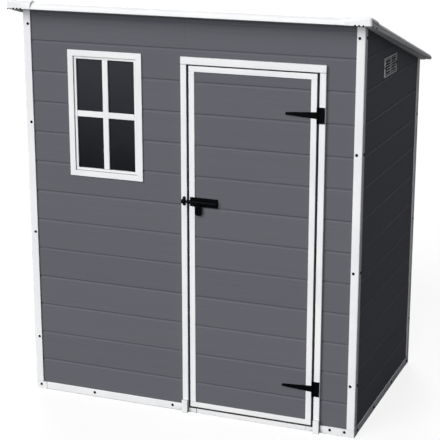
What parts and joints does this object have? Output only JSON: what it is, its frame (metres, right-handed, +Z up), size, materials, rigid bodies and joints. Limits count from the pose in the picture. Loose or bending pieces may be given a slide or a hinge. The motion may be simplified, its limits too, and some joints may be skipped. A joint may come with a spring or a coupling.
{
  "type": "garden shed",
  "caption": "Pent-roof garden shed of grey planked panels with white posts, rails and trims, a barred window, louvred side vents and an outward door on strap hinges with a slide bolt.",
  "frame": {"origin": "on the ground under the middle of the roof's outline", "axes": "+X to the right as seen from the front, +Y from the front to the back, +Z up"},
  "size_m": [1.834, 1.226, 2.047],
  "materials": {
    "grey_panel": "moulded planks with a fine grain, matt",
    "floor_grey": "matt, fine texture",
    "white_trim": "smooth satin",
    "white_roof": "smooth matt",
    "smoked_glass": "smoked acrylic, glossy",
    "black_hardware": "black powder coat"
  },
  "bodies": {
    "shed": {"floor_left": "floor_grey", "floor_right": "floor_grey", "base_rail_front_left": "white_trim", "base_rail_front_right": "white_trim", "base_rail_left": "white_trim", "base_rail_right": "white_trim", "base_rail_back": "white_trim", "door_sill": "white_trim", "corner_feet": "white_trim", "jamb_feet": "white_trim", "post_front_left": "white_trim", "post_front_right": "white_trim", "post_back_left": "white_trim", "post_back_right": "white_trim", "front_wall_left": "grey_panel", "front_wall_right": "grey_panel", "front_wall_header": "grey_panel", "front_top_rail": "grey_panel", "left_wall": "grey_panel", "right_wall": "grey_panel", "back_wall": "grey_panel", "window_frame": "white_trim", "window_glass": "smoked_glass", "left_vent": "white_trim", "right_vent": "white_trim", "door_jamb_left": "white_trim", "door_jamb_right": "white_trim", "door_head": "white_trim", "door_stops": "grey_panel", "roof_panel": "white_roof", "roof_fascia": "white_trim", "roof_back_trim": "white_trim", "roof_left_trim": "white_trim", "roof_right_trim": "white_trim", "roof_corner_caps": "white_trim", "upper_hinge_plate": "black_hardware", "lower_hinge_plate": "black_hardware", "bolt_keeper": "black_hardware"},
    "door": {"door_panel": "grey_panel", "door_stiles": "white_trim", "door_rails": "white_trim", "upper_hinge_strap": "black_hardware", "lower_hinge_strap": "black_hardware", "bolt_body": "black_hardware"},
    "bolt": {"slide_bolt": "black_hardware"}
  },
  "joints": [
    {"name": "door_hinge", "type": "hinge", "parent": "shed", "child": "door", "pos_m": [0.657, -0.553, 0.9], "axis": [0, 0, 1], "range_deg": [0, 120]},
    {"name": "bolt_slide", "type": "slide", "parent": "door", "child": "bolt", "axis": [-1, 0, 0], "range_m": [0, 0.036]}
  ]
}
